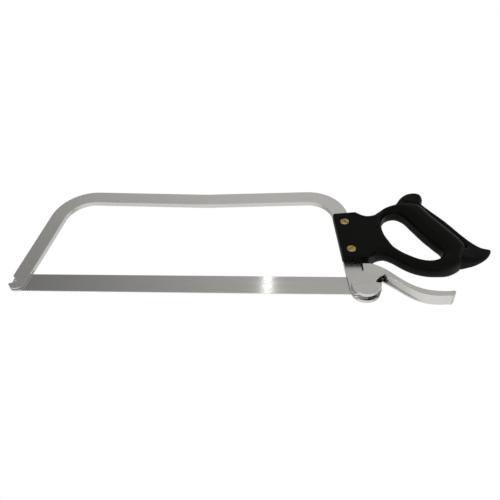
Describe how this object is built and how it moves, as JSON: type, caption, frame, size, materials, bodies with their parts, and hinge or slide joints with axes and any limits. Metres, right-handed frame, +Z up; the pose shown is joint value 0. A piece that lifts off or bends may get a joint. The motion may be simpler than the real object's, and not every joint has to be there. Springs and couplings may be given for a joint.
{
  "type": "bow hand saw",
  "caption": "Hand bow saw with a flat steel bow frame, toothed strip blade, cam lever that tensions and frees the blade, and a closed black hand grip.",
  "frame": {"origin": "centre of the hand grip, on the saw's mid-plane", "axes": "+X from the toe towards the handle along the blade, +Z up from the blade to the bow's top bar (teeth point down), +Y through the thickness"},
  "size_m": [0.5449, 0.026, 0.1683],
  "materials": {
    "frame_steel": "satin brushed stainless steel",
    "lever_metal": "satin polished cast metal",
    "blade_steel": "bright rolled strip steel",
    "pin_steel": "bright steel pin",
    "handle_plastic": "semi-gloss black moulded plastic",
    "brass": "turned brass"
  },
  "bodies": {
    "frame": {"bow_frame": "frame_steel", "handle": "handle_plastic", "handle_screw_top": "brass", "handle_screw_bottom": "brass", "handle_nut_top": "brass", "handle_nut_bottom": "brass", "pivot_stud_near": "pin_steel", "pivot_stud_far": "pin_steel"},
    "lever": {"cam_lever": "lever_metal"},
    "blade": {"saw_blade": "blade_steel", "blade_pin_front": "pin_steel", "blade_pin_rear": "pin_steel"}
  },
  "joints": [
    {"name": "tension_lever", "type": "hinge", "parent": "frame", "child": "lever", "pos_m": [-0.095, 0, -0.084], "axis": [0, 1, 0], "range_deg": [0, 78]},
    {"name": "blade_swing", "type": "hinge", "parent": "lever", "child": "blade", "pos_m": [-0.07, 0, -0.084], "axis": [0, 1, 0], "range_deg": [-74, 0]}
  ],
  "couplings": [
    {"joint": "blade_swing", "follows": "tension_lever", "ratio": -0.945}
  ]
}
